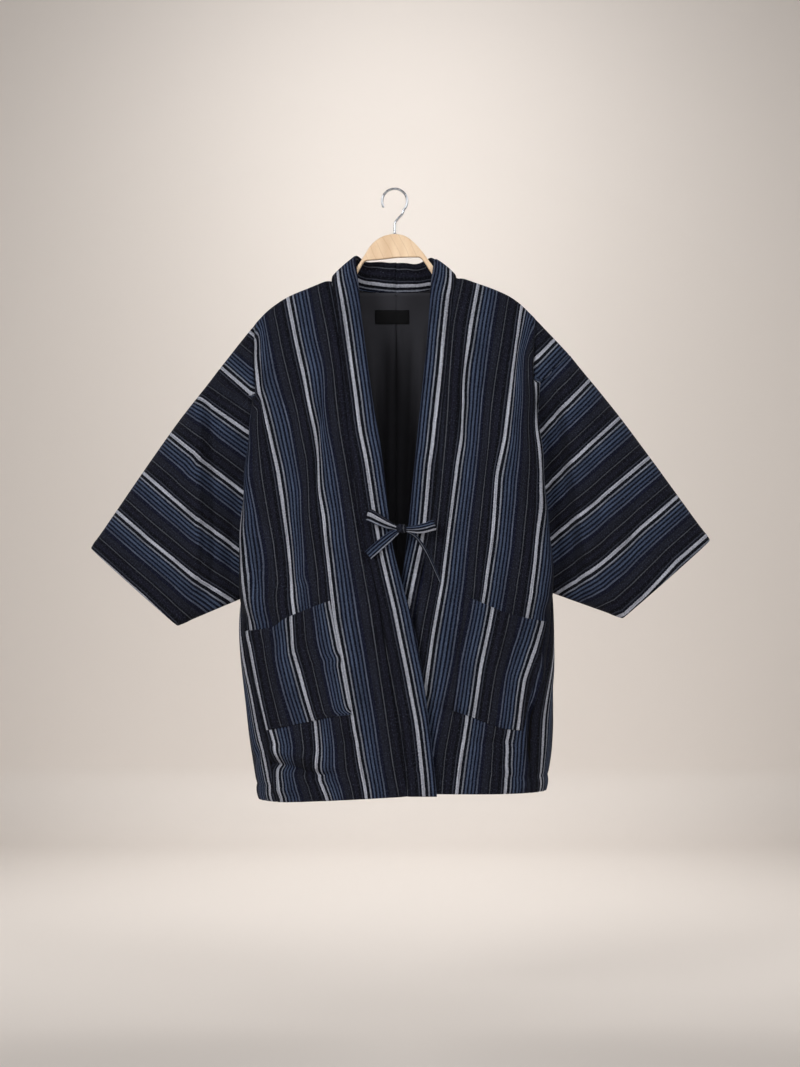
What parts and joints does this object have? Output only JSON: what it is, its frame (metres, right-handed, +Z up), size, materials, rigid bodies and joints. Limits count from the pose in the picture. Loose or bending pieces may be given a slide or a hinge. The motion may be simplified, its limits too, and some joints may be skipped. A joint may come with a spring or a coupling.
{
  "type": "hanten jacket on a wooden hanger",
  "caption": "Padded cotton hanten jacket with a folded collar band, dropped sleeves, side gussets and patch pockets, tied at the front, on a wooden hanger with a steel hook.",
  "frame": {"origin": "inside top of the hanger's hook, where a rail carries it", "axes": "+Z up, -Y towards the front of the jacket, +X to the viewer's right as seen from the front"},
  "size_m": [0.9275, 0.1872, 0.9157],
  "materials": {
    "cotton_stripe": "woven cotton, navy and charcoal with slate-blue and pale grey stripes, matt",
    "lining": "plain charcoal cotton, matt",
    "label": "bare black woven tape",
    "beech": "clear satin varnish on beech",
    "steel": "bright plated wire"
  },
  "bodies": {
    "root": {"front_left": "cotton_stripe", "front_right": "cotton_stripe", "back_left": "cotton_stripe", "back_right": "cotton_stripe", "gusset_left": "cotton_stripe", "gusset_right": "cotton_stripe", "sleeve_left": "cotton_stripe", "sleeve_right": "cotton_stripe", "pocket_left": "cotton_stripe", "pocket_right": "cotton_stripe", "collar_left": "cotton_stripe", "collar_right": "cotton_stripe", "tie_knot": "cotton_stripe", "tie_loop_left": "cotton_stripe", "tie_loop_right": "cotton_stripe", "tie_tail_left": "cotton_stripe", "tie_tail_right": "cotton_stripe", "tie_stem_left": "cotton_stripe", "tie_stem_right": "cotton_stripe", "lining_left": "lining", "lining_right": "lining", "label": "label", "hanger_wood": "beech", "hanger_hook": "steel"}
  },
  "joints": []
}
